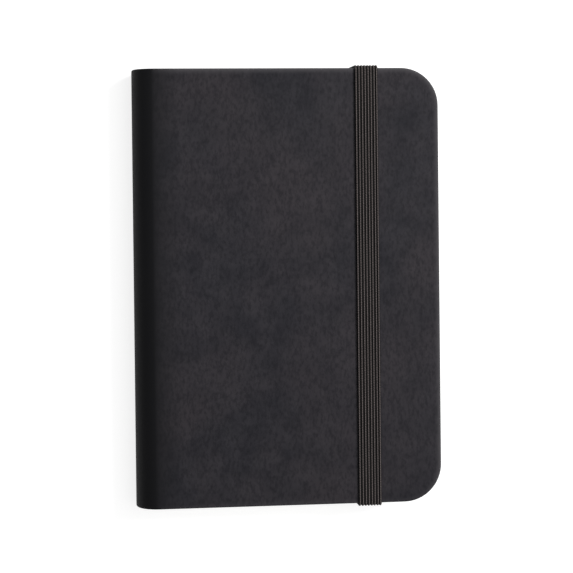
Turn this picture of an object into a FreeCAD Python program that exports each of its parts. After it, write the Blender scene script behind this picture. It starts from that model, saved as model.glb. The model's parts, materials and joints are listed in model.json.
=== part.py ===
import FreeCAD
import Part
import math
import os

# A pocket notebook: ten sewn sections in a hard case with a rounded spine, covered
# in soft leather and held shut by a woven elastic band. It lies on its back cover:
# +Z comes out of the front cover, +Y points to the head and +X to the fore-edge.
# The origin is on the back cover's outer face, in the middle. Sizes are millimetres.

# --- driving dimensions -------------------------------------------------------------

# the case
cover_width = 77.2
cover_height = 110.0
corner_radius = 9.5
leather_thickness = 0.8
board_thickness = 0.9
turn_in_width = 9.0
turn_in_thickness = 0.3
rim_radius = 0.5
inner_rim_radius = 0.2
board_setback = 1.2
step_corner_radius = 1.0

# the rounded spine: two shoulder arcs and a flatter arc between them
shoulder_radius = 5.2
shoulder_angle = 55.0
inlay_thickness = 0.4
inlay_angle = 62.0
inlay_end_margin = 1.2

# the line where the front cover bends, on the front shoulder
hinge_angle = 25.0
hinge_rise = 0.11

# paper
endpaper_thickness = 0.12
pastedown_margin = 3.0
leaf_thickness = 0.105
leaves_per_section = 8
section_count = 10
block_margin = 2.5
leaf_gap = 0.02

# the back of the text block
hollow_depth = 1.8
back_radius = 15.0
thread_diameter = 0.3
stitch_room = 0.42
sewing_stations = 6
station_margin = 9.0
mull_thickness = 0.18
mull_margin = 12.0
lining_thickness = 0.16
lining_margin = 1.0
layer_gap = 0.02
band_radius = 0.6
band_tab_length = 7.0
band_tab_thickness = 0.18

# the elastic closure
elastic_width = 6.0
elastic_thickness = 0.7
elastic_inset = 18.45
elastic_gap = 0.02
elastic_side_gap = 0.1
slit_margin = 1.0
tab_length = 12.0
tab_thickness = 0.45
lining_share = 0.8

# --- sizes worked out from them -----------------------------------------------------

half_width = cover_width / 2
half_height = cover_height / 2
case_thickness = leather_thickness + board_thickness
section_thickness = leaves_per_section * leaf_thickness
turning_leaves = leaves_per_section // 2
half_section = section_thickness / 2

# heights of the layers, from the back cover's outer face up
rear_pastedown_z = case_thickness
rear_flyleaf_z = rear_pastedown_z + endpaper_thickness
block_z = rear_flyleaf_z + endpaper_thickness
first_section_z = block_z + (section_count - 1) * section_thickness
opening_z = first_section_z + section_thickness - turning_leaves * leaf_thickness
flyleaf_z = opening_z + turning_leaves * (leaf_thickness + leaf_gap) + leaf_gap
pastedown_z = flyleaf_z + endpaper_thickness + leaf_gap
front_case_z = pastedown_z + endpaper_thickness
thickness = front_case_z + case_thickness
board_top_z = thickness - leather_thickness
middle_z = thickness / 2

# the spine's outer line
turn = math.radians(shoulder_angle)
shoulder_drop = shoulder_radius * (1 - math.cos(turn))
spine_radius = (middle_z - shoulder_drop) / math.cos(turn)
shoulder_to_centre = (spine_radius - shoulder_radius) * math.sin(turn)
joint_x = spine_radius - shoulder_to_centre - half_width
spine_x = joint_x + shoulder_to_centre
board_x = joint_x + board_setback

# the text block
back_stack = thread_diameter + mull_thickness + lining_thickness + 4 * layer_gap
back_x = leather_thickness + inlay_thickness + hollow_depth + back_stack - half_width
back_centre_x = back_x + back_radius
block_middle_z = (block_z + first_section_z + section_thickness) / 2
block_fore_x = half_width - block_margin
block_half_height = half_height - block_margin
page_radius = corner_radius - block_margin
mull_radius = back_radius + thread_diameter + 2 * layer_gap
lining_radius = mull_radius + mull_thickness + layer_gap

# the elastic
elastic_x = half_width - elastic_inset
slot_half_width = elastic_width / 2 + elastic_side_gap
stub_end_y = half_height - turn_in_width - slit_margin
slit_end_y = stub_end_y - elastic_thickness
tab_end_y = slit_end_y - tab_length
tab_z = case_thickness - tab_thickness
channel_depth = elastic_thickness + elastic_gap
channel_lining = lining_share * (tab_z - elastic_gap - channel_depth)
leg_split_height = case_thickness - inner_rim_radius


def point(x, y, z):
    return FreeCAD.Vector(x, y, z)


def line(a, b):
    return Part.LineSegment(a, b).toShape()


def arc(a, middle, b):
    return Part.Arc(a, middle, b).toShape()


def polar(cx, cz, radius, degrees, y=0.0):
    """A point on a circle in the XZ plane."""
    angle = math.radians(degrees)
    return point(cx + radius * math.cos(angle), y, cz + radius * math.sin(angle))


def swing(cx, cz, radius, start, end, y=0.0):
    """An arc about (cx, cz) in the XZ plane, from one angle to another."""
    middle = (start + end) / 2
    return arc(
        polar(cx, cz, radius, start, y),
        polar(cx, cz, radius, middle, y),
        polar(cx, cz, radius, end, y),
    )


def prism(edges, way):
    """A solid swept straight from a closed flat outline."""
    return Part.Face(Part.Wire(edges)).extrude(way)


def box(x0, x1, y0, y1, z0, z1):
    return Part.makeBox(x1 - x0, y1 - y0, z1 - z0, point(x0, y0, z0))


def plate(x0, x1, half_length, z0, z1, radius):
    """A sheet with square corners at the spine and round ones at the fore-edge."""
    bend = radius * (1 - math.sqrt(0.5))
    corner_x = x1 - radius
    corner_y = half_length - radius
    low = point(x0, -half_length, z0)
    low_in = point(corner_x, -half_length, z0)
    low_mid = point(x1 - bend, bend - half_length, z0)
    low_out = point(x1, -corner_y, z0)
    high_out = point(x1, corner_y, z0)
    high_mid = point(x1 - bend, half_length - bend, z0)
    high_in = point(corner_x, half_length, z0)
    high = point(x0, half_length, z0)
    edges = [
        line(low, low_in),
        arc(low_in, low_mid, low_out),
        line(low_out, high_out),
        arc(high_out, high_mid, high_in),
        line(high_in, high),
        line(high, low),
    ]
    return prism(edges, point(0, 0, z1 - z0))


def ring(cx, cz, inner, outer, start, end, y0, y1):
    """A curved strip between two radii, standing along Y."""
    edges = [
        swing(cx, cz, outer, start, end, y0),
        line(polar(cx, cz, outer, end, y0), polar(cx, cz, inner, end, y0)),
        swing(cx, cz, inner, end, start, y0),
        line(polar(cx, cz, inner, start, y0), polar(cx, cz, outer, start, y0)),
    ]
    return prism(edges, point(0, y1 - y0, 0))


def outline_edges(shape, z, skip_x):
    """The edges at one height, without the straight one that runs along skip_x."""
    found = []
    for edge in shape.Edges:
        box_ = edge.BoundBox
        level = abs(box_.ZMin - z) < 1e-6 and abs(box_.ZMax - z) < 1e-6
        skipped = abs(box_.XMin - skip_x) < 1e-6 and abs(box_.XMax - skip_x) < 1e-6
        if level and not skipped:
            found.append(edge)
    return found


def end_edges(shape, radii):
    """The curved edges of the given radii at the head and tail of the spine."""
    found = []
    for edge in shape.Edges:
        box_ = edge.BoundBox
        flat = abs(box_.YMax - box_.YMin) < 1e-6
        curved = isinstance(edge.Curve, Part.Circle)
        if flat and curved and min(abs(edge.Curve.Radius - r) for r in radii) < 1e-6:
            found.append(edge)
    return found


def board(outer_z, way):
    """A cover board. Its rim is pared on the inside, where the leather turns in."""
    thin = board_thickness - turn_in_thickness
    half_length = half_height - leather_thickness
    fore_x = half_width - leather_thickness
    z0, z1 = sorted((outer_z, outer_z + way * thin))
    radius = corner_radius - leather_thickness
    rim = plate(board_x, fore_x, half_length, z0, z1, radius)
    z0, z1 = sorted((outer_z, outer_z + way * board_thickness))
    inner_fore_x = half_width - turn_in_width
    inner_half = half_height - turn_in_width
    middle = plate(board_x, inner_fore_x, inner_half, z0, z1, step_corner_radius)
    return rim.fuse(middle).removeSplitter()


def front_cover_board():
    return board(board_top_z, -1)


def front_cover_leather():
    """The skin of the front cover, from the bending line to the fore-edge."""
    y = -half_height
    start = 90 + hinge_angle
    centre_z = thickness - shoulder_radius
    inner = shoulder_radius - leather_thickness
    edges = [
        swing(joint_x, centre_z, shoulder_radius, start, 90, y),
        line(point(joint_x, y, thickness), point(half_width, y, thickness)),
        line(point(half_width, y, thickness), point(half_width, y, front_case_z)),
        line(point(half_width, y, front_case_z), point(board_x, y, front_case_z)),
        line(point(board_x, y, front_case_z), point(board_x, y, board_top_z)),
        line(point(board_x, y, board_top_z), point(joint_x, y, board_top_z)),
        swing(joint_x, centre_z, inner, 90, start, y),
        line(
            polar(joint_x, centre_z, inner, start, y),
            polar(joint_x, centre_z, shoulder_radius, start, y),
        ),
    ]
    skin = prism(edges, point(0, cover_height, 0))
    outline = plate(-half_width, half_width, half_height, 0, thickness, corner_radius)
    skin = skin.common(outline).removeSplitter()
    skin = skin.makeFillet(rim_radius, outline_edges(skin, thickness, joint_x))
    skin = skin.makeFillet(
        inner_rim_radius, outline_edges(skin, front_case_z, board_x)
    )
    return skin.cut(front_cover_board())


def channels():
    """The places of the two channels that the elastic's ends lie in."""
    x0 = elastic_x - slot_half_width
    x1 = elastic_x + slot_half_width
    lining, room, slit, recess = [], [], [], []
    for side in (1, -1):
        spans = (
            (lining, leather_thickness, slit_end_y - leather_thickness,
             half_height - leather_thickness, 0, channel_depth + channel_lining),
            (room, 0, slit_end_y - elastic_gap, cover_height, -1, channel_depth),
            (slit, 0, slit_end_y - elastic_gap, stub_end_y + elastic_gap,
             0, thickness / 2),
            (recess, 0, tab_end_y - elastic_gap, slit_end_y,
             tab_z - elastic_gap, thickness / 2),
        )
        for into, grow, y0, y1, z0, z1 in spans:
            low, high = sorted((side * y0, side * y1))
            into.append(box(x0 - grow, x1 + grow, low, high, z0, z1))
    return lining, room, slit, recess


def back_cover_board():
    lining, _, slit, recess = channels()
    shape = board(leather_thickness, 1)
    for cutter in lining + slit + recess:
        shape = shape.cut(cutter)
    return shape


def back_cover_leather():
    """The skin of the back cover, dipping under the elastic's two ends."""
    lining, room, slit, _ = channels()
    skin = plate(joint_x, half_width, half_height, 0, case_thickness, corner_radius)
    skin = skin.cut(box(-half_width, board_x, -cover_height, cover_height,
                        leather_thickness, thickness))
    skin = skin.makeFillet(rim_radius, outline_edges(skin, 0, joint_x))
    skin = skin.makeFillet(
        inner_rim_radius, outline_edges(skin, case_thickness, board_x)
    )
    skin = skin.cut(board(leather_thickness, 1))
    for piece in lining:
        skin = skin.fuse(piece)
    for cutter in room + slit:
        skin = skin.cut(cutter)
    return skin.removeSplitter()


def spine_leather():
    """The round spine's skin, turned in over the inlay at the head and the tail."""
    y = -half_height
    front_z = thickness - shoulder_radius
    bend = 90 + hinge_angle
    high = 90 + shoulder_angle
    low = 270 - shoulder_angle
    inner_shoulder = shoulder_radius - leather_thickness
    inner_spine = spine_radius - leather_thickness
    edges = [
        swing(joint_x, front_z, shoulder_radius, bend, high, y),
        swing(spine_x, middle_z, spine_radius, high, low, y),
        swing(joint_x, shoulder_radius, shoulder_radius, low, 270, y),
        line(point(joint_x, y, 0), point(joint_x, y, leather_thickness)),
        swing(joint_x, shoulder_radius, inner_shoulder, 270, low, y),
        swing(spine_x, middle_z, inner_spine, low, high, y),
        swing(joint_x, front_z, inner_shoulder, high, bend, y),
        line(
            polar(joint_x, front_z, inner_shoulder, bend, y),
            polar(joint_x, front_z, shoulder_radius, bend, y),
        ),
    ]
    skin = prism(edges, point(0, cover_height, 0))
    skin = skin.makeFillet(
        rim_radius, end_edges(skin, (shoulder_radius, spine_radius))
    )
    roll = inner_spine - inlay_thickness
    start = 180 - inlay_angle / 2
    end = 180 + inlay_angle / 2
    for side in (1, -1):
        rim = half_height - rim_radius
        low_y, high_y = sorted((side * (half_height - inlay_end_margin), side * rim))
        skin = skin.fuse(ring(spine_x, middle_z, roll - turn_in_thickness, inner_spine,
                              start, end, low_y, high_y))
        low_y, high_y = sorted((side * (half_height - turn_in_width), side * rim))
        skin = skin.fuse(ring(spine_x, middle_z, roll - turn_in_thickness, roll,
                              start, end, low_y, high_y))
    return skin.removeSplitter()


def spine_inlay():
    """The card strip that stiffens the spine."""
    outer = spine_radius - leather_thickness
    length = half_height - inlay_end_margin
    start = 180 - inlay_angle / 2
    end = 180 + inlay_angle / 2
    return ring(spine_x, middle_z, outer - inlay_thickness, outer,
                start, end, -length, length)


def pastedown(z):
    fore_x = half_width - pastedown_margin
    half_length = half_height - pastedown_margin
    radius = corner_radius - pastedown_margin
    return plate(board_x, fore_x, half_length, z, z + endpaper_thickness, radius)


def back_line_x(z):
    """How far left the rounded back of the text block reaches at one height."""
    rise = z - block_middle_z
    return back_centre_x - math.sqrt(back_radius ** 2 - rise ** 2)


def leaf(z, paper):
    """One sheet of paper, from beside the sewing to the fore-edge."""
    top = first_section_z + half_section
    x0 = back_line_x(top) + half_section + stitch_room
    return plate(x0, block_fore_x, block_half_height, z, z + paper, page_radius)


def rear_flyleaf():
    """The back flyleaf stops short of the hollow back, as the first leaf does."""
    return leaf(rear_flyleaf_z, endpaper_thickness)


def fold(x, z):
    """The rounded fold that the sheets of one section turn in."""
    centre = point(x + half_section, -block_half_height, z + half_section)
    length = 2 * block_half_height
    return Part.makeCylinder(half_section, length, centre, point(0, 1, 0))


def section(z, paper_top):
    """A folded section: its paper from z to paper_top, and its rounded fold."""
    x = back_line_x(z + half_section)
    inner_x = x + half_section
    paper = plate(inner_x, block_fore_x, block_half_height, z, paper_top, page_radius)
    back = fold(x, z).common(
        box(x - 1, inner_x, -cover_height, cover_height, 0, thickness)
    )
    return paper.fuse(back).removeSplitter()


def station_places():
    """Where the needle goes through the folds, along Y."""
    reach = block_half_height - station_margin
    pitch = 2 * reach / (sewing_stations - 1)
    return [n * pitch - reach for n in range(sewing_stations)]


def sewing_thread():
    """Thread over the back at each station, and stitches in the opened fold."""
    half_angle = math.degrees(
        math.asin((first_section_z + half_section - block_middle_z) / back_radius)
    )
    inner = back_radius + layer_gap
    pieces = []
    for y in station_places():
        pieces.append(ring(back_centre_x, block_middle_z, inner,
                           inner + thread_diameter, 180 - half_angle,
                           180 + half_angle, y - thread_diameter / 2,
                           y + thread_diameter / 2))
    x = back_line_x(first_section_z + half_section) + half_section
    x = x + stitch_room / 2
    z = opening_z + thread_diameter / 2
    places = station_places()
    for start, end in zip(places[0::2], places[1::2]):
        pieces.append(Part.makeCylinder(thread_diameter / 2, end - start,
                                        point(x, start, z), point(0, 1, 0)))
    return Part.makeCompound(pieces)


def back_strip(radius, strip, y_margin):
    """A strip glued round the back of the text block."""
    top = first_section_z + half_section - block_middle_z
    half_angle = math.degrees(math.asin(top / back_radius))
    reach = block_half_height - y_margin
    return ring(back_centre_x, block_middle_z, radius, radius + strip,
                180 - half_angle, 180 + half_angle, -reach, reach)


def end_band(side):
    """The woven bead at one end of the block's back, with its glued cloth tab."""
    top = first_section_z - block_middle_z
    half_angle = math.degrees(math.asin(top / back_radius))
    start = 180 - half_angle
    y = side * (block_half_height + band_radius + layer_gap)
    bead_path = back_radius - band_radius
    circle = Part.Circle(
        polar(back_centre_x, block_middle_z, bead_path, start, y),
        polar(0, 0, 1, start + 90),
        band_radius,
    )
    centre = point(back_centre_x, y, block_middle_z)
    face = Part.Face(Part.Wire(circle.toShape()))
    bead = face.revolve(centre, point(0, -1, 0), 2 * half_angle)
    tab_inner = lining_radius + lining_thickness + layer_gap
    tab_outer = tab_inner + band_tab_thickness
    low, high = sorted((side * (block_half_height - band_tab_length), y))
    tab = ring(back_centre_x, block_middle_z, tab_inner, tab_outer,
               start, start + 2 * half_angle, low, high)
    low, high = sorted((y, y - side * band_radius / 2))
    neck = ring(back_centre_x, block_middle_z, bead_path, tab_outer,
                start, start + 2 * half_angle, low, high)
    return bead.fuse(neck).fuse(tab).removeSplitter()


def elastic_band():
    """The band over the front cover and down both ends of the book."""
    inner_y = half_height + elastic_gap
    inner_z = thickness + elastic_gap
    x = elastic_x - elastic_width / 2
    foot = leg_split_height

    def hoop(y_out, z_out, radius):
        """An upside-down U in the plane at x, open at its foot."""
        cy = y_out - radius
        cz = z_out - radius
        bend = radius * math.sqrt(0.5)
        return [
            line(point(x, y_out, foot), point(x, y_out, cz)),
            arc(point(x, y_out, cz), point(x, cy + bend, cz + bend),
                point(x, cy, z_out)),
            line(point(x, cy, z_out), point(x, -cy, z_out)),
            arc(point(x, -cy, z_out), point(x, -cy - bend, cz + bend),
                point(x, -y_out, cz)),
            line(point(x, -y_out, cz), point(x, -y_out, foot)),
        ]

    outer_y = inner_y + elastic_thickness
    outer = hoop(outer_y, inner_z + elastic_thickness,
                 rim_radius + elastic_thickness)
    inner = hoop(inner_y, inner_z, rim_radius)
    feet = [
        line(point(x, side * outer_y, foot), point(x, side * inner_y, foot))
        for side in (1, -1)
    ]
    edges = Part.__sortEdges__(outer + inner + feet)
    return prism(edges, point(elastic_width, 0, 0))


def elastic_end(side):
    """One anchored end: round the edge, along its channel, through and glued."""
    x = elastic_x - elastic_width / 2
    inner_y = half_height + elastic_gap
    outer_y = inner_y + elastic_thickness
    corner = outer_y - elastic_thickness
    bend = elastic_thickness * math.sqrt(0.5)

    def at(y, z):
        return point(x, side * y, z)

    corners = [
        at(corner, 0),
        at(slit_end_y, 0),
        at(slit_end_y, tab_z),
        at(tab_end_y, tab_z),
        at(tab_end_y, case_thickness),
        at(stub_end_y, case_thickness),
        at(stub_end_y, elastic_thickness),
        at(inner_y, elastic_thickness),
        at(inner_y, leg_split_height),
        at(outer_y, leg_split_height),
        at(outer_y, elastic_thickness),
    ]
    edges = [line(a, b) for a, b in zip(corners, corners[1:])]
    turn_point = at(corner + bend, elastic_thickness - bend)
    edges.append(arc(corners[-1], turn_point, corners[0]))
    return prism(edges, point(elastic_width, 0, 0))


def elastic_ends():
    return Part.makeCompound([elastic_end(1), elastic_end(-1)])


def build_nodes():
    """Every piece of the notebook, by name."""
    nodes = {
        "front_cover_leather": front_cover_leather(),
        "front_cover_board": front_cover_board(),
        "front_pastedown": pastedown(pastedown_z),
        "back_cover_leather": back_cover_leather(),
        "back_cover_board": back_cover_board(),
        "rear_pastedown": pastedown(rear_pastedown_z),
        "spine_leather": spine_leather(),
        "spine_inlay": spine_inlay(),
        "front_flyleaf": leaf(flyleaf_z, endpaper_thickness),
        "rear_flyleaf": rear_flyleaf(),
        "sewing_thread": sewing_thread(),
        "mull": back_strip(mull_radius, mull_thickness, mull_margin),
        "spine_lining": back_strip(lining_radius, lining_thickness, lining_margin),
        "head_band": end_band(1),
        "tail_band": end_band(-1),
        "elastic_band": elastic_band(),
        "elastic_ends": elastic_ends(),
    }
    for number in range(turning_leaves):
        below = turning_leaves - 1 - number
        z = opening_z + leaf_gap + below * (leaf_thickness + leaf_gap)
        nodes[f"leaf_{number + 1}"] = leaf(z, leaf_thickness)
    nodes["section_01"] = section(first_section_z, opening_z)
    for number in range(1, section_count):
        z = first_section_z - number * section_thickness
        nodes[f"section_{number + 1:02d}"] = section(z, z + section_thickness)
    return nodes


os.makedirs("parts", exist_ok=True)
for name, shape in build_nodes().items():
    shape.exportStep(f"parts/{name}.step")
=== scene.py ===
"""Dresses a pocket notebook: leather case, sewn pages, woven elastic, floor, lights and camera."""

import json
import logging
import math
import random
from contextlib import contextmanager
from dataclasses import dataclass, field
from enum import Enum
from typing import Callable, Iterator

import bmesh
import bpy
from mathutils import Euler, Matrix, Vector

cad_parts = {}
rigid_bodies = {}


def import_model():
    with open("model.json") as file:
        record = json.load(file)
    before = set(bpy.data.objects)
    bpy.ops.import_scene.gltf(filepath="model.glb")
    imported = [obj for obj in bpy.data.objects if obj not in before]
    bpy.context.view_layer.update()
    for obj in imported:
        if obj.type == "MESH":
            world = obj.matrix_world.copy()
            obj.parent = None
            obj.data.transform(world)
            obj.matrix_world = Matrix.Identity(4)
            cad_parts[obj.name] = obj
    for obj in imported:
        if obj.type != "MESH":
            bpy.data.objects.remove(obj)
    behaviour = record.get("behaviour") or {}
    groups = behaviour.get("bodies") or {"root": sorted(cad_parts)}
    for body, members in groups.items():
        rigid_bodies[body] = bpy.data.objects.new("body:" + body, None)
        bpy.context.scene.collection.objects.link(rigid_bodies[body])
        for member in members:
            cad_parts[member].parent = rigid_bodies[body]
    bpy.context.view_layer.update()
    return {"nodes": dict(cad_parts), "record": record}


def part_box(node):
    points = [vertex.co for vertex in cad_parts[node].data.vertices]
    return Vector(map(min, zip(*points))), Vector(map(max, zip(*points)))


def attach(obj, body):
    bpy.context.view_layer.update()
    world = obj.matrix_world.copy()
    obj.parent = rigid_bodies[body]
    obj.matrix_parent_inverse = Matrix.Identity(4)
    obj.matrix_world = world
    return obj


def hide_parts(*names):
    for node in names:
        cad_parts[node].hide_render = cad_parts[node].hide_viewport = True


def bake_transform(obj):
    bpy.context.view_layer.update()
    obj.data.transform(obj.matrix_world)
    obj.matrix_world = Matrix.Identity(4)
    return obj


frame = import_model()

MM = 0.001
TOUCH = 0.001 * MM  # nearer than this, two places are one
DOUBLE = 0.0001 * MM  # nearer than this, two vertices are merged
log = logging.getLogger("notebook")
logging.basicConfig(level=logging.INFO, format="%(name)s: %(message)s")


# --- the workbench: selecting and shaping as by hand --------------------------------


class Part(Enum):
    """What a test in edit mode picks."""

    VERTS = "VERT"
    FACES = "FACE"


def clear_selection() -> None:
    """Deselects every object."""
    for thing in bpy.context.scene.objects:
        thing.select_set(False)


def activate(thing: bpy.types.Object) -> None:
    """Makes one object the only selected and active one."""
    clear_selection()
    thing.select_set(True)
    bpy.context.view_layer.objects.active = thing


@contextmanager
def editing(thing: bpy.types.Object) -> Iterator[None]:
    """Puts an object in edit mode with nothing selected, and back in object mode.

    Args:
        thing: The mesh object to edit.
    """
    activate(thing)
    bpy.ops.object.mode_set(mode="EDIT")
    bpy.ops.mesh.select_all(action="DESELECT")
    yield
    bpy.ops.object.mode_set(mode="OBJECT")


def pick(part: Part, test: Callable[[Vector], bool]) -> None:
    """Selects only what passes a test, in edit mode.

    Args:
        part: Vertices or faces.
        test: Says whether a vertex, or the middle of a face, is wanted.
    """
    bpy.ops.mesh.select_mode(type=part.value)
    bpy.ops.mesh.select_all(action="DESELECT")
    mesh = bmesh.from_edit_mesh(bpy.context.object.data)
    if part is Part.VERTS:
        wanted = [v for v in mesh.verts if test(v.co)]
    else:
        wanted = [f for f in mesh.faces if test(f.calc_center_median())]
    for item in wanted:
        item.select_set(True)
    mesh.select_flush_mode()
    bmesh.update_edit_mesh(bpy.context.object.data)


def pull(x: float = 0.0, y: float = 0.0, z: float = 0.0) -> None:
    """Extrudes what is selected by a step."""
    bpy.ops.mesh.extrude_region_move(TRANSFORM_OT_translate={"value": (x, y, z)})


def seal() -> None:
    """Merges doubles and turns every face outwards, in edit mode."""
    bpy.ops.mesh.select_all(action="SELECT")
    bpy.ops.mesh.remove_doubles(threshold=DOUBLE)
    bpy.ops.mesh.normals_make_consistent(inside=False)


def finish_mesh(thing: bpy.types.Object, name: str, smooth: float = 40.0) -> bpy.types.Object:
    """Names a piece, puts its place in its mesh and smooths its soft edges.

    Args:
        thing: The piece.
        name: Its plain name.
        smooth: Edges sharper than this, in degrees, stay sharp.

    Returns:
        The piece.
    """
    activate(thing)
    bpy.ops.object.transform_apply(location=True, rotation=True, scale=True)
    bpy.ops.object.shade_smooth_by_angle(angle=math.radians(smooth))
    thing.name = name
    thing.data.name = name
    return thing


def copy_of(thing: bpy.types.Object, name: str, move: Vector) -> bpy.types.Object:
    """A copy with its own mesh, moved within that mesh.

    Args:
        thing: The object to copy.
        name: The copy's name.
        move: How far its vertices move.

    Returns:
        The copy.
    """
    twin = thing.copy()
    twin.data = thing.data.copy()
    twin.name = name
    bpy.context.scene.collection.objects.link(twin)
    for vertex in twin.data.vertices:
        vertex.co += move
    return twin


def joined(pieces: list[bpy.types.Object]) -> bpy.types.Object:
    """Joins pieces into one object.

    Args:
        pieces: The pieces, which all end up in the first.

    Returns:
        The first piece.
    """
    clear_selection()
    for piece in pieces:
        piece.select_set(True)
    bpy.context.view_layer.objects.active = pieces[0]
    bpy.ops.object.join()
    return pieces[0]


def rounded_sheet(x0: float, x1: float, half_y: float, top: float, thick: float,
                  radius: float, segments: int = 10) -> bpy.types.Object:
    """A plate with square corners at the spine and round ones at the fore-edge.

    Args:
        x0: Its spine side.
        x1: Its fore-edge.
        half_y: Half its height along Y.
        top: The level of its upper face.
        thick: Its thickness, below that level.
        radius: The radius of its round corners.
        segments: Steps in each corner.

    Returns:
        The plate, a closed mesh.
    """
    clear_selection()
    bpy.ops.mesh.primitive_plane_add(size=1, location=((x0 + x1) / 2, 0, top))
    sheet = bpy.context.object
    sheet.scale = (x1 - x0, 2 * half_y, 1)
    bpy.ops.object.transform_apply(location=True, rotation=True, scale=True)
    with editing(sheet):
        pick(Part.VERTS, lambda p: p.x > x1 - TOUCH)
        bpy.ops.mesh.bevel(offset=radius, segments=segments, affect="VERTICES")
        bpy.ops.mesh.select_all(action="SELECT")
        pull(z=-thick)
        seal()
    return sheet


def cross_cuts(thing: bpy.types.Object, places: list[float]) -> None:
    """Cuts edge rows across a sheet, so that it can bend.

    Args:
        thing: The sheet.
        places: The X of each row.
    """
    with editing(thing):
        for x in places:
            bpy.ops.mesh.select_all(action="SELECT")
            bpy.ops.mesh.bisect(plane_co=(x, 0, 0), plane_no=(1, 0, 0))


# --- finishes -------------------------------------------------------------------------


class Nodes:
    """A short hand for building one material's node tree."""

    def __init__(self, name: str) -> None:
        """Starts a material with a Principled shader."""
        self.material = bpy.data.materials.new(name)
        self.material.use_nodes = True
        self.tree = self.material.node_tree
        self.shader = self.tree.nodes["Principled BSDF"]
        coordinates = self.add("ShaderNodeTexCoord")
        self.place = coordinates.outputs["Object"]
        self.facing = coordinates.outputs["Normal"]

    def add(self, kind: str, **values: object) -> bpy.types.Node:
        """Adds a node and sets its properties.

        Args:
            kind: The node's type.
            **values: Its properties by name.

        Returns:
            The node.
        """
        node = self.tree.nodes.new(kind)
        for key, value in values.items():
            setattr(node, key, value)
        return node

    def link(self, source: bpy.types.NodeSocket, target: bpy.types.NodeSocket) -> None:
        """Joins two sockets."""
        self.tree.links.new(source, target)

    def noise(self, scale: float, detail: float = 3.0, rough: float = 0.5,
              stretch: tuple[float, float, float] = (1, 1, 1)) -> bpy.types.NodeSocket:
        """A noise pattern on object coordinates.

        Args:
            scale: How many waves fit in a metre.
            detail: How many finer layers it has.
            rough: How strong those are.
            stretch: The scale along each axis, below 1 for longer marks.

        Returns:
            Its value, from 0 to 1.
        """
        mapping = self.add("ShaderNodeMapping")
        mapping.inputs["Scale"].default_value = stretch
        self.link(self.place, mapping.inputs["Vector"])
        node = self.add("ShaderNodeTexNoise")
        node.inputs["Scale"].default_value = scale
        node.inputs["Detail"].default_value = detail
        node.inputs["Roughness"].default_value = rough
        self.link(mapping.outputs["Vector"], node.inputs["Vector"])
        return node.outputs["Fac"]

    def spread(self, source: bpy.types.NodeSocket, low: float, high: float,
               to_low: float = 0.0, to_high: float = 1.0) -> bpy.types.NodeSocket:
        """Stretches a value from one range to another, clamped.

        Args:
            source: The value.
            low: What becomes to_low.
            high: What becomes to_high.
            to_low: The new range's start.
            to_high: The new range's end.

        Returns:
            The new value.
        """
        node = self.add("ShaderNodeMapRange")
        for key, value in zip(("From Min", "From Max", "To Min", "To Max"),
                              (low, high, to_low, to_high)):
            node.inputs[key].default_value = value
        self.link(source, node.inputs["Value"])
        return node.outputs["Result"]

    def math(self, kind: str, a: bpy.types.NodeSocket,
             b: bpy.types.NodeSocket | float = 0.0) -> bpy.types.NodeSocket:
        """One sum on a value.

        Args:
            kind: The sum.
            a: The value.
            b: The second value, for a sum of two.

        Returns:
            The result.
        """
        node = self.add("ShaderNodeMath", operation=kind)
        self.link(a, node.inputs[0])
        if isinstance(b, (int, float)):
            node.inputs[1].default_value = b
        else:
            self.link(b, node.inputs[1])
        return node.outputs[0]

    def mix(self, share: bpy.types.NodeSocket, first: object,
            second: object) -> bpy.types.NodeSocket:
        """Mixes two colours, each a socket or an RGB triple.

        Args:
            share: How much of the second shows.
            first: One colour.
            second: The other.

        Returns:
            The mixed colour.
        """
        node = self.add("ShaderNodeMix", data_type="RGBA")
        self.link(share, node.inputs["Factor"])
        for socket, value in ((node.inputs[6], first), (node.inputs[7], second)):
            if isinstance(value, tuple):
                socket.default_value = (*value, 1)
            else:
                self.link(value, socket)
        return node.outputs[2]

    def axis(self, name: str, of: bpy.types.NodeSocket | None = None) -> bpy.types.NodeSocket:
        """One object coordinate, or one part of another vector.

        Args:
            name: X, Y or Z.
            of: The other vector.

        Returns:
            The number.
        """
        node = self.add("ShaderNodeSeparateXYZ")
        self.link(of or self.place, node.inputs[0])
        return node.outputs[name]

    def bump(self, height: bpy.types.NodeSocket, distance: float, strength: float,
             below: bpy.types.NodeSocket | None = None) -> bpy.types.NodeSocket:
        """A bump from a height pattern, on top of another bump.

        Args:
            height: The pattern.
            distance: How high it stands, in metres.
            strength: How much of it shows.
            below: The bump under it.

        Returns:
            The bumped normal.
        """
        node = self.add("ShaderNodeBump")
        node.inputs["Distance"].default_value = distance
        node.inputs["Strength"].default_value = strength
        self.link(height, node.inputs["Height"])
        if below is not None:
            self.link(below, node.inputs["Normal"])
        return node.outputs["Normal"]

    def set(self, **values: object) -> None:
        """Sets or links the shader's sockets.

        Args:
            **values: Values and links by socket, with underscores for its spaces.
        """
        for key, value in values.items():
            socket = self.shader.inputs[key.replace("_", " ")]
            if isinstance(value, bpy.types.NodeSocket):
                self.link(value, socket)
            elif isinstance(value, tuple):
                socket.default_value = (*value, 1)
            else:
                socket.default_value = value


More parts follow.
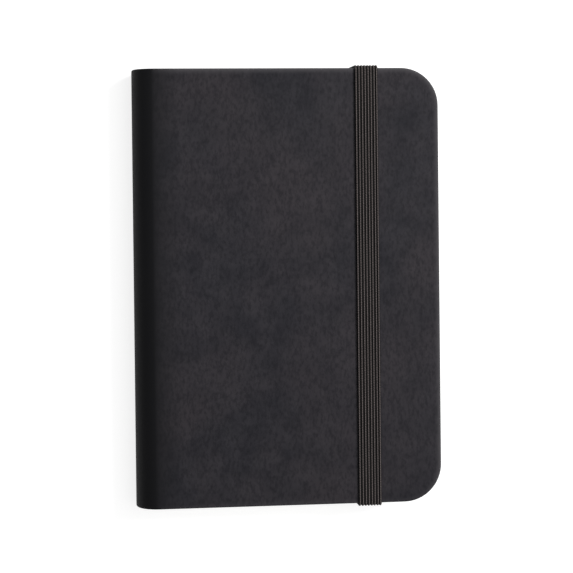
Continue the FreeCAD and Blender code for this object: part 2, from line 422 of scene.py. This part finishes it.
@dataclass(frozen=True)
class SuedeLeather:
    """Soft imitation leather: matt, mottled, with a fine nap, a painted highlight along the
    outline and painted shade towards the spine.
    """

    half_width: float
    half_height: float
    corner: float
    dark: tuple[float, float, float] = (0.0176, 0.0171, 0.0208)
    light: tuple[float, float, float] = (0.0270, 0.0257, 0.0300)
    warm: tuple[float, float, float] = (0.0380, 0.0325, 0.0360)
    fleck: tuple[float, float, float] = (0.0090, 0.0088, 0.0112)
    # painted highlight: the paler colour of the rounded rim, where the light falls
    rim_highlight: tuple[float, float, float] = (0.0720, 0.0690, 0.0740)
    # painted shade: the colour the cover darkens to at the spine, away from the light
    spine_shade: tuple[float, float, float] = (0.0076, 0.0076, 0.0086)
    roughness: float = 0.60
    spine_shade_x: tuple[float, float] = (-33.9 * MM, -26.5 * MM)
    highlight_width: float = 1.8 * MM
    tail_fade: float = 6.0 * MM
    patches: float = 200
    clouds: float = 52
    pores: float = 1500
    grain: float = 4200
    dents: float = 160

    def rim(self, n: "Nodes") -> bpy.types.NodeSocket:
        """Where a highlight is painted on: along the rounded outline, less so at the tail.

        Args:
            n: The material's nodes.

        Returns:
            How much painted highlight a point gets, from 0 to 1.
        """
        side = n.math("SUBTRACT", n.axis("X"), self.half_width - self.corner)
        end = n.math("SUBTRACT", n.math("ABSOLUTE", n.axis("Y")),
                     self.half_height - self.corner)
        side = n.math("MAXIMUM", side, 0.0)
        end = n.math("MAXIMUM", end, 0.0)
        reach = n.math("SQRT", n.math("ADD", n.math("MULTIPLY", side, side),
                                      n.math("MULTIPLY", end, end)))
        near = n.spread(reach, self.corner - self.highlight_width, self.corner - 0.1 * MM)
        tail = self.highlight_width - self.half_height
        # the painted highlight is weaker at the tail, which faces away from the light
        share = n.spread(n.axis("Y"), tail, tail + self.tail_fade, 0.2, 0.85)
        return n.math("MULTIPLY", n.math("MULTIPLY", near, near), share)

    def make(self) -> bpy.types.Material:
        """Builds the material."""
        n = Nodes("suede_leather")
        patches = n.spread(n.noise(self.patches, 5, 0.62), 0.34, 0.66)
        clouds = n.spread(n.noise(self.clouds, 3, 0.5), 0.38, 0.68)
        colour = n.mix(patches, self.dark, self.light)
        colour = n.mix(n.math("MULTIPLY", clouds, 0.5), colour, self.warm)
        flecks = n.spread(n.noise(self.pores, 3, 0.6, (1, 0.5, 1)), 0.42, 0.66)
        colour = n.mix(n.math("MULTIPLY", flecks, 0.55), colour, self.fleck)
        # painted highlight along the outline
        colour = n.mix(self.rim(n), colour, self.rim_highlight)
        # painted shade: darker towards the spine, which faces away from the light
        away = n.spread(n.axis("X"), *self.spine_shade_x)
        colour = n.mix(n.math("POWER", away, 0.6), self.spine_shade, colour)
        grain = n.noise(self.grain, 3, 0.65)
        pores = n.noise(self.pores, 4, 0.6)
        dents = n.noise(self.dents, 2, 0.5)
        rough = n.spread(pores, 0.3, 0.7, self.roughness - 0.05, self.roughness + 0.07)
        normal = n.bump(dents, 0.12 * MM, 0.25)
        normal = n.bump(pores, 0.05 * MM, 0.35, normal)
        normal = n.bump(grain, 0.02 * MM, 0.5, normal)
        n.set(Base_Color=colour, Roughness=rough, Normal=normal,
              Specular_IOR_Level=0.3, IOR=1.2)
        return n.material


@dataclass(frozen=True)
class RuledPaper:
    """Ivory writing paper, with or without faint rules across the page."""

    name: str = "ruled_paper"
    paper: tuple[float, float, float] = (0.80, 0.765, 0.67)
    shade: tuple[float, float, float] = (0.74, 0.70, 0.60)
    rule: tuple[float, float, float] = (0.42, 0.44, 0.47)
    pitch: float = 6.0 * MM
    width: float = 0.16 * MM
    top_rule: float = 38.0 * MM
    last_rule: float = -46.0 * MM
    ink: float = 0.75
    ruled: bool = True

    def make(self) -> bpy.types.Material:
        """Builds the material."""
        n = Nodes(self.name)
        colour = n.mix(n.spread(n.noise(900, 5, 0.7), 0.35, 0.7), self.paper, self.shade)
        if self.ruled:
            y = n.axis("Y")
            metre_up = n.math("ADD", y, 1.0)  # keeps the count of rules above zero
            beat = n.math("FRACT", n.math("DIVIDE", metre_up, self.pitch))
            line = n.math("LESS_THAN", beat, self.width / self.pitch)
            line = n.math("MULTIPLY", line, n.math("LESS_THAN", y, self.top_rule))
            line = n.math("MULTIPLY", line, n.math("GREATER_THAN", y, self.last_rule))
            colour = n.mix(n.math("MULTIPLY", line, self.ink), colour, self.rule)
        normal = n.bump(n.noise(2600, 4, 0.7), 0.01 * MM, 0.35)
        n.set(Base_Color=colour, Roughness=0.86, Normal=normal)
        return n.material


@dataclass(frozen=True)
class WovenElastic:
    """The knitted cover of the elastic's cords, with dark gaps between the stitches and painted
    shade on the cords' flanks.
    """

    yarn: tuple[float, float, float] = (0.136, 0.116, 0.112)
    gap: tuple[float, float, float] = (0.030, 0.024, 0.024)
    # painted shade for the cords' flanks, which face sideways into the grooves
    flank_shade: tuple[float, float, float] = (0.0015, 0.0010, 0.0010)
    stitch: float = 0.62 * MM
    slant: float = 0.6
    name: str = "woven_elastic"

    def make(self) -> bpy.types.Material:
        """Builds the material."""
        n = Nodes(self.name)
        run = n.math("ADD", n.axis("Y"), n.axis("Z"))
        run = n.math("ADD", run, n.math("MULTIPLY", n.axis("X"), self.slant))
        beat = n.math("SINE", n.math("MULTIPLY", run, 2 * math.pi / self.stitch))
        stitches = n.spread(beat, -1.0, 0.4, 0.45, 1.0)
        fuzz = n.spread(n.noise(2500, 4, 0.7), 0.3, 0.7)
        share = n.math("MULTIPLY", stitches, n.spread(fuzz, 0, 1, 0.55, 1.0))
        colour = n.mix(share, self.gap, self.yarn)
        # painted shade: the flanks of each cord, facing into the grooves, darkened
        side = n.math("ABSOLUTE", n.axis("X", n.facing))
        colour = n.mix(n.spread(side, 0.15, 0.6), colour, self.flank_shade)
        normal = n.bump(stitches, 0.08 * MM, 0.5)
        normal = n.bump(n.noise(6000, 3, 0.7), 0.03 * MM, 0.5, normal)
        n.set(Base_Color=colour, Roughness=0.78, Normal=normal, Specular_IOR_Level=0.2)
        return n.material


@dataclass(frozen=True)
class Weave:
    """A plain woven or banded cloth: headbands, gauze and thread."""

    name: str
    first: tuple[float, float, float]
    second: tuple[float, float, float]
    pitch: float
    along: str = "Z"
    roughness: float = 0.8

    def make(self) -> bpy.types.Material:
        """Builds the material."""
        n = Nodes(self.name)
        wave = n.math("SINE", n.math("MULTIPLY", n.axis(self.along), 2 * math.pi / self.pitch))
        stripe = n.spread(wave, -0.3, 0.3)
        colour = n.mix(stripe, self.first, self.second)
        normal = n.bump(wave, 0.08 * MM, 0.5)
        normal = n.bump(n.noise(5000, 4, 0.7), 0.04 * MM, 0.5, normal)
        n.set(Base_Color=colour, Roughness=self.roughness, Normal=normal)
        return n.material


@dataclass(frozen=True)
class FibreBoard:
    """Grey bookbinding board or brown lining paper, flecked with fibres."""

    name: str
    first: tuple[float, float, float]
    second: tuple[float, float, float]

    def make(self) -> bpy.types.Material:
        """Builds the material."""
        n = Nodes(self.name)
        flecks = n.spread(n.noise(1200, 5, 0.75, (1, 0.4, 1)), 0.4, 0.65)
        n.set(Base_Color=n.mix(flecks, self.first, self.second), Roughness=0.9,
              Normal=n.bump(flecks, 0.03 * MM, 0.4))
        return n.material


# --- sizes ----------------------------------------------------------------------------


@dataclass(frozen=True)
class BookSizes:
    """The sizes that several pieces share, in metres.

    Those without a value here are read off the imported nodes.
    """

    half_width: float
    half_height: float
    top: float
    case: float
    leather: float
    joint_x: float
    board_x: float
    page_x: float
    page_half: float
    corner: float = 9.5 * MM
    rim: float = 0.5 * MM
    elastic_thickness: float = 0.7 * MM
    elastic_gap: float = 0.02 * MM

    @classmethod
    def from_frame(cls) -> "BookSizes":
        """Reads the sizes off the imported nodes.

        Returns:
            The sizes.
        """
        low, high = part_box("front_cover_leather")
        board_low, board_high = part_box("front_cover_board")
        leaf_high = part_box("leaf_4")[1]
        return cls(
            half_width=high.x, half_height=high.y, top=high.z,
            case=high.z - board_low.z, leather=high.z - board_high.z,
            joint_x=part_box("back_cover_leather")[0].x, board_x=board_low.x,
            page_x=leaf_high.x, page_half=leaf_high.y,
        )

    @property
    def middle(self) -> float:
        """Half the book's thickness."""
        return self.top / 2


# --- the case -------------------------------------------------------------------------


@dataclass
class LeatherCase:
    """The leather skin of both covers and the spine, in two halves that meet mid-spine."""

    sizes: BookSizes
    leather: bpy.types.Material
    corner_steps: int = 16
    rim_steps: int = 5
    shoulder: float = 5.2 * MM
    shoulder_turn: float = math.radians(55)
    turn_in: float = 9.0 * MM
    shoulder_steps: int = 22
    spine_steps: int = 14
    bend_rows: tuple[float, ...] = (1.0 * MM, 2.2 * MM, 3.6 * MM, 5.2 * MM)
    bend_start: float = -4.4 * MM
    bend_end: float = 0.6 * MM
    channel_length: float = 10.72 * MM
    channel_room: float = 0.1 * MM
    cutter_overhang: float = 2.0 * MM
    made: list[bpy.types.Object] = field(default_factory=list)

    def spine_circle(self) -> tuple[float, float]:
        """The spine's flatter middle arc.

        Returns:
            Its radius and the X of its centre.
        """
        drop = self.shoulder * (1 - math.cos(self.shoulder_turn))
        radius = (self.sizes.middle - drop) / math.cos(self.shoulder_turn)
        step = (radius - self.shoulder) * math.sin(self.shoulder_turn)
        return radius, self.sizes.joint_x + step

    def half(self, name: str) -> bpy.types.Object:
        """One cover's skin with its half of the spine, made as the front one.

        Args:
            name: The piece's name.

        Returns:
            A closed mesh: plate, pocket for the board, joint and half of the spine.
        """
        s = self.sizes
        skin = rounded_sheet(s.board_x, s.half_width, s.half_height, s.top, s.case,
                             s.corner, self.corner_steps)
        under = s.top - s.case
        strip = s.top - s.leather
        radius, centre_x = self.spine_circle()
        with editing(skin):
            pick(Part.FACES, lambda p: p.x < s.board_x + TOUCH)
            bpy.ops.mesh.bisect(plane_co=(0, 0, strip), plane_no=(0, 0, 1))
            pick(Part.FACES, lambda p: p.x < s.board_x + TOUCH and p.z > strip)
            pull(x=s.joint_x - s.board_x)
            bpy.ops.mesh.spin(steps=self.shoulder_steps, angle=self.shoulder_turn,
                              center=(s.joint_x, 0, s.top - self.shoulder), axis=(0, 1, 0))
            bpy.ops.mesh.spin(steps=self.spine_steps, angle=math.pi / 2 - self.shoulder_turn,
                              center=(centre_x, 0, s.middle), axis=(0, 1, 0))
            bpy.ops.mesh.delete(type="ONLY_FACE")
            seal()
            self.soften_rim(radius, centre_x)
            pick(Part.FACES, lambda p: abs(p.z - under) < TOUCH and p.x > s.board_x)
            bpy.ops.mesh.inset(thickness=self.turn_in, depth=0)
            pull(z=s.case - s.leather)
        cross_cuts(skin, [s.board_x + row for row in self.bend_rows])
        return finish_mesh(skin, name)

    def soften_rim(self, radius: float, centre_x: float) -> None:
        """Rounds the outer edges of the skin all the way round, in edit mode.

        Args:
            radius: The radius of the spine's middle arc.
            centre_x: The X of its centre.
        """
        s = self.sizes

        def outside(p: Vector) -> bool:
            """Whether a point lies on the outer surface."""
            flat = abs(p.z - s.top) < TOUCH
            on_shoulder = math.hypot(p.x - s.joint_x, p.z - s.top + self.shoulder)
            on_spine = math.hypot(p.x - centre_x, p.z - s.middle)
            bent = p.x < s.joint_x + TOUCH and (
                abs(on_shoulder - self.shoulder) < TOUCH or abs(on_spine - radius) < TOUCH
            )
            return flat or bent

        def on_outline(p: Vector) -> bool:
            """Whether a point lies on the outline of the cover."""
            ends = abs(abs(p.y) - s.half_height) < TOUCH
            return ends or p.x > s.half_width - s.corner + TOUCH

        bpy.ops.mesh.select_mode(type="EDGE")
        bpy.ops.mesh.select_all(action="DESELECT")
        mesh = bmesh.from_edit_mesh(bpy.context.object.data)
        for edge in mesh.edges:
            a, b = (v.co for v in edge.verts)
            across = abs(a.y - b.y) > s.half_height
            fore = min(a.x, b.x) > s.half_width - TOUCH
            if outside(a) and outside(b) and on_outline(a) and on_outline(b):
                edge.select_set(not across or fore)
        bmesh.update_edit_mesh(bpy.context.object.data)
        bpy.ops.mesh.bevel(offset=s.rim, segments=self.rim_steps, affect="EDGES",
                           clamp_overlap=False)

    def cut_channels(self, skin: bpy.types.Object) -> None:
        """Sinks the two channels for the elastic's ends into the back skin.

        Args:
            skin: The back cover's skin.
        """
        s = self.sizes
        low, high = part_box("elastic_ends")
        length = self.channel_length + self.channel_room
        depth = s.elastic_thickness + s.elastic_gap
        middle_y = s.half_height + (self.cutter_overhang - length) / 2
        for side in (1, -1):
            clear_selection()
            bpy.ops.mesh.primitive_cube_add(
                size=1, location=((low.x + high.x) / 2, side * middle_y, 0))
            cutter = bpy.context.object
            cutter.scale = (high.x - low.x + 2 * self.channel_room,
                            length + self.cutter_overhang, 2 * depth)
            bpy.ops.object.transform_apply(location=True, rotation=True, scale=True)
            activate(skin)
            modifier = skin.modifiers.new("channel", "BOOLEAN")
            modifier.operation = "DIFFERENCE"
            modifier.solver = "EXACT"
            modifier.object = cutter
            bpy.ops.object.modifier_apply(modifier=modifier.name)
            bpy.data.objects.remove(cutter)

    def build(self) -> None:
        """Makes both halves, mirrors the back one and dresses them."""
        s = self.sizes
        front = self.half("front_skin")
        back = copy_of(front, "back_skin", Vector((0, 0, 0)))
        for vertex in back.data.vertices:
            vertex.co.z = s.top - vertex.co.z
        with editing(back):
            seal()
        self.cut_channels(back)
        for skin in (front, back):
            skin.data.materials.clear()
            skin.data.materials.append(self.leather)
        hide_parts("front_cover_leather")
        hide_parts("back_cover_leather", "spine_leather")
        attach(back, "book")
        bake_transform(front)
        self.made = [front, back]
        log.info("case: %s", [piece.name for piece in self.made])


# --- the pages ------------------------------------------------------------------------


@dataclass
class PageBlock:
    """The turning leaves, and the sewn sections as stacks of single leaves."""

    sizes: BookSizes
    paper: bpy.types.Material
    endpaper: bpy.types.Material
    corner: float = 7.0 * MM
    leaf_share: float = 0.88
    stray: float = 0.09 * MM
    fold_to_root: float = 0.42 * MM
    bend_start: float = 0.3 * MM
    bend_length: float = 6.0 * MM
    bend_cuts: int = 14
    fold_sides: int = 16
    fold_lap: float = 0.05 * MM
    sections: int = 10
    leaves: int = 8
    smooth: float = 30.0
    seed: int = 7
    made: list[bpy.types.Object] = field(default_factory=list)

    def dress(self, piece: bpy.types.Object, finish: bpy.types.Material) -> None:
        """Gives a piece its finish and slot, and notes it.

        Args:
            piece: The piece.
            finish: Its paper.
        """
        piece.data.materials.clear()
        piece.data.materials.append(finish)
        self.made.append(piece)

    def turning_leaf(self, node: str, finish: bpy.types.Material,
                     root_x: float) -> None:
        """A leaf that turns, cut across near the gutter so that it can bend there.

        Args:
            node: The leaf's node in the model.
            finish: Its paper.
            root_x: Where it leaves the fold.
        """
        low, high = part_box(node)
        leaf = rounded_sheet(root_x, high.x, high.y, high.z, high.z - low.z, self.corner)
        step = self.bend_length / self.bend_cuts
        cross_cuts(leaf, [root_x + step * (n + 1) for n in range(self.bend_cuts + 2)])
        finish_mesh(leaf, f"{node}_sheet", self.smooth)
        self.dress(leaf, finish)
        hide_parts(node)
        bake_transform(leaf)

    def section(self, node: str, count: int, draw: random.Random) -> None:
        """One sewn section: a stack of leaves with a rounded fold at the back.

        Args:
            node: The section's node in the model.
            count: How many leaves lie in it.
            draw: The source of the leaves' small strays.
        """
        low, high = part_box(node)
        whole_low, whole_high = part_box("section_02")
        radius = (whole_high.z - whole_low.z) / 2
        fold_x = low.x + radius
        stack_top = high.z if count == self.leaves else low.z + radius
        pitch = (stack_top - low.z) / count
        first = rounded_sheet(fold_x, self.sizes.page_x, self.sizes.page_half,
                              low.z + pitch * self.leaf_share, pitch * self.leaf_share,
                              self.corner)
        pieces = [first]
        for number in range(1, count):
            move = Vector((draw.uniform(-1, 0.4) * self.stray,
                           draw.uniform(-1, 1) * self.stray, pitch * number))
            pieces.append(copy_of(first, "leaf", move))
        clear_selection()
        bpy.ops.mesh.primitive_cylinder_add(
            vertices=self.fold_sides, radius=radius, depth=2 * self.sizes.page_half,
            location=(fold_x, 0, low.z + radius), rotation=(math.pi / 2, 0, 0),
        )
        fold = bpy.context.object
        bpy.ops.object.transform_apply(location=True, rotation=True, scale=True)
        with editing(fold):
            bpy.ops.mesh.select_all(action="SELECT")
            bpy.ops.mesh.bisect(plane_co=(fold_x + self.fold_lap, 0, 0),
                                plane_no=(1, 0, 0), clear_outer=True, use_fill=True)
            seal()
        whole = finish_mesh(joined([*pieces, fold]), f"{node}_pages", self.smooth)
        self.dress(whole, self.paper)
        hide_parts(node)
        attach(whole, "book")

    def build(self) -> None:
        """Makes the leaves that turn, then the sections from the first to the last."""
        draw = random.Random(self.seed)
        root_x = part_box("section_01")[0].x + self.fold_to_root
        turning = self.leaves // 2
        for number in range(1, turning + 1):
            self.turning_leaf(f"leaf_{number}", self.paper,
                              root_x)
        self.turning_leaf("front_flyleaf", self.endpaper, root_x)
        self.section("section_01", self.leaves - turning, draw)
        for number in range(2, self.sections + 1):
            self.section(f"section_{number:02d}", self.leaves, draw)
        log.info("pages: %d pieces", len(self.made))


# --- the elastic ----------------------------------------------------------------------


@dataclass
class ElasticClosure:
    """The elastic: parallel knitted cords that run round the book, end to end, on a near-black
    sheet that paints the shade between them.
    """

    sizes: BookSizes
    finish: bpy.types.Material
    # the near-black finish of the sheet that paints the shade in the grooves
    groove_shade_finish: bpy.types.Material
    cords: int = 8
    cord_half_width: float = 0.30 * MM
    cord_half_depth: float = 0.36 * MM
    web_half_width: float = 2.85 * MM
    web_half_depth: float = 0.14 * MM
    sides: int = 12
    end_steps: int = 4
    leg_steps: int = 14
    strand_steps: int = 40
    turn_steps: int = 6
    slit_from_edge: float = 10.4 * MM
    stray: float = 0.09 * MM
    stretch_from: float = 1.6 * MM
    stretch_below_top: float = 1.0 * MM
    smooth: float = 60.0
    seed: int = 5

    def run(self, steps: int, y: float = 0.0, z: float = 0.0) -> None:
        """Draws the cord on in equal steps."""
        for _ in range(steps):
            pull(y=y / steps, z=z / steps)

    def turn(self, x: float, y: float, z: float) -> None:
        """Bends the cord a quarter turn about a line along X.

        Args:
            x: A point on that line.
            y: Its Y.
            z: Its Z.
        """
        bpy.ops.mesh.spin(steps=self.turn_steps, angle=-math.pi / 2, center=(x, y, z),
                          axis=(1, 0, 0))

    def cord(self, x: float, half_width: float, half_depth: float) -> bpy.types.Object:
        """One cord: out of its slit, round the book and into the other slit.

        Args:
            x: The cord's place across the band.
            half_width: Half its width, across the band.
            half_depth: Half its depth, off the book.

        Returns:
            The cord, closed at both ends.
        """
        s = self.sizes
        thick = s.elastic_thickness
        start_y = s.half_height - self.slit_from_edge
        edge_y = s.half_height + s.elastic_gap
        rim_y = s.half_height - s.rim
        rim_z = s.top - s.rim
        clear_selection()
        bpy.ops.mesh.primitive_circle_add(vertices=self.sides, radius=1, fill_type="NGON",
                                          location=(x, start_y, thick / 2),
                                          rotation=(math.pi / 2, 0, 0))
        cord = bpy.context.object
        cord.scale = (half_width, half_depth, 1)
        bpy.ops.object.transform_apply(location=True, rotation=True, scale=True)
        with editing(cord):
            bpy.ops.mesh.select_all(action="SELECT")
            self.run(self.end_steps, y=edge_y - start_y)
            self.turn(x, edge_y, thick)
            self.run(self.leg_steps, z=rim_z - thick)
            self.turn(x, rim_y, rim_z)
            self.run(self.strand_steps, y=-2 * rim_y)
            self.turn(x, -rim_y, rim_z)
            self.run(self.leg_steps, z=thick - rim_z)
            self.turn(x, -edge_y, thick)
            self.run(self.end_steps, y=edge_y - start_y)
            seal()
        return cord

    def build(self) -> None:
        """Makes all the cords side by side, and the sheet under them."""
        low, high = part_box("elastic_band")
        middle = (low.x + high.x) / 2
        pitch = (high.x - low.x) / self.cords
        first = self.cord(middle - pitch * (self.cords - 1) / 2, self.cord_half_width,
                          self.cord_half_depth)
        draw = random.Random(self.seed)
        rest = []
        for number in range(1, self.cords):
            stray = draw.uniform(-1, 1) * self.stray if number < self.cords - 1 else 0
            rest.append(copy_of(first, "cord", Vector((pitch * number + stray, 0, 0))))
        band = finish_mesh(joined([first, *rest]), "elastic_cords", self.smooth)
        band.data.materials.append(self.finish)
        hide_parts("elastic_band", "elastic_ends")
        # painted shade: a near-black sheet under the cords, showing in the grooves between them
        web = self.cord(middle, self.web_half_width, self.web_half_depth)
        finish_mesh(web, "elastic_shade_web", self.smooth)
        web.data.materials.append(self.groove_shade_finish)
        for piece in (band, web):
            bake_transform(piece)
        log.info("elastic: %d cords on a web", self.cords)


# --- the studio -----------------------------------------------------------------------


@dataclass
class Studio:
    """A pale floor, soft light from the head's right side and the camera over the cover."""

    sizes: BookSizes
    distance: float = 0.450
    yaw: float = math.radians(-6.94)
    pitch: float = math.radians(-0.88)
    roll: float = math.radians(-0.62)
    aim: tuple[float, float] = (-0.40 * MM, 17.46 * MM)
    lens: float = 112.65
    sensor: float = 36.0
    shift: float = -0.12
    sky: float = 0.26
    floor_size: float = 6.0
    floor_z: float = -0.02 * MM
    floor_grey: float = 0.40
    floor_glow: float = 0.80

    def camera(self) -> None:
        """Sets the camera over the front cover, a little towards the spine."""
        data = bpy.data.cameras.new("camera")
        data.lens = self.lens
        data.sensor_width = self.sensor
        data.shift_y = self.shift
        data.clip_start = 0.01
        data.clip_end = 20
        camera = bpy.data.objects.new("camera", data)
        bpy.context.scene.collection.objects.link(camera)
        turn = (Euler((0, self.yaw, 0)).to_matrix() @ Euler((self.pitch, 0, 0)).to_matrix()
                @ Euler((0, 0, self.roll)).to_matrix())
        place = Vector((*self.aim, self.sizes.top)) + turn @ Vector((0, 0, self.distance))
        camera.matrix_world = turn.to_4x4()
        camera.location = place
        bpy.context.scene.camera = camera

    def lamp(self, name: str, place: tuple[float, float, float], size: float,
             power: float) -> None:
        """A round area light that faces the middle of the book.

        Args:
            name: The lamp's name.
            place: Where it stands.
            size: How wide it is.
            power: Its watts.
        """
        data = bpy.data.lights.new(name, "AREA")
        data.shape = "DISK"
        data.size = size
        data.energy = power
        lamp = bpy.data.objects.new(name, data)
        bpy.context.scene.collection.objects.link(lamp)
        lamp.location = place
        lamp.rotation_euler = Vector(place).to_track_quat("Z", "Y").to_euler()

    def build(self) -> None:
        """Lays the floor, sets the light and places the camera."""
        clear_selection()
        bpy.ops.mesh.primitive_plane_add(size=self.floor_size, location=(0, 0, self.floor_z))
        floor = bpy.context.object
        floor.name = "floor"
        n = Nodes("pale_floor")
        n.set(Base_Color=(self.floor_grey,) * 3, Roughness=0.9, Specular_IOR_Level=0.0,
              Emission_Color=(1.0, 1.0, 1.0), Emission_Strength=self.floor_glow)
        floor.data.materials.append(n.material)
        world = bpy.data.worlds.new("studio")
        world.use_nodes = True
        background = world.node_tree.nodes["Background"]
        background.inputs["Color"].default_value = (1, 1, 1, 1)
        background.inputs["Strength"].default_value = self.sky
        bpy.context.scene.world = world
        self.lamp("key", place=(0.60, 0.35, 0.70), size=0.35, power=9.0)
        self.lamp("top", place=(0.35, 0.10, 1.10), size=0.8, power=4.0)
        bpy.context.scene.view_settings.view_transform = "Standard"
        self.camera()


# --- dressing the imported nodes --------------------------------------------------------


def all_finishes(sizes: BookSizes) -> dict[str, bpy.types.Material]:
    """Makes the book's finishes.

    Args:
        sizes: The book's sizes, for the finish that follows the cover's outline.

    Returns:
        Finish by material slot of the record.
    """
    leather = SuedeLeather(sizes.half_width, sizes.half_height, sizes.corner)
    endpaper = RuledPaper("endpaper", (0.77, 0.735, 0.64), (0.71, 0.67, 0.57), ruled=False)
    bands = Weave("band_cloth", (0.03, 0.03, 0.035), (0.55, 0.53, 0.48), 0.9 * MM)
    thread = Weave("linen_thread", (0.62, 0.60, 0.53), (0.80, 0.78, 0.70), 0.5 * MM, "Y")
    gauze = Weave("gauze", (0.55, 0.53, 0.46), (0.74, 0.71, 0.62), 0.8 * MM, "Y")
    board = FibreBoard("grey_board", (0.27, 0.26, 0.24), (0.38, 0.36, 0.33))
    kraft = FibreBoard("kraft_paper", (0.34, 0.25, 0.16), (0.45, 0.34, 0.23))
    return {
        "cover_leather": leather.make(),
        "page_paper": RuledPaper().make(),
        "endpaper": endpaper.make(),
        "elastic": WovenElastic().make(),
        "band_cloth": bands.make(),
        "thread": thread.make(),
        "mull": gauze.make(),
        "board": board.make(),
        "lining_paper": kraft.make(),
    }


def dress_nodes(finishes: dict[str, bpy.types.Material]) -> None:
    """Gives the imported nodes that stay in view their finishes.

    Args:
        finishes: Finish by material slot of the record.
    """
    slots = {row["node"]: row["material_slot"] for row in frame["record"]["subparts"]}
    for name, node in frame["nodes"].items():
        node.data.materials.clear()
        node.data.materials.append(finishes[slots[name]])


def main() -> None:
    """Builds the notebook's looks in order."""
    sizes = BookSizes.from_frame()
    finishes = all_finishes(sizes)
    dress_nodes(finishes)
    LeatherCase(sizes, finishes["cover_leather"]).build()
    PageBlock(sizes, finishes["page_paper"], finishes["endpaper"]).build()
    # painted shade: a near-black finish for the sheet under the cords, standing for the shade in
    # the grooves
    groove_shade = WovenElastic(yarn=(0.003, 0.002, 0.002), gap=(0.001, 0.001, 0.001),
                          name="elastic_groove_shade").make()
    ElasticClosure(sizes, finishes["elastic"], groove_shade).build()
    Studio(sizes).build()


if __name__ == "__main__":
    main()
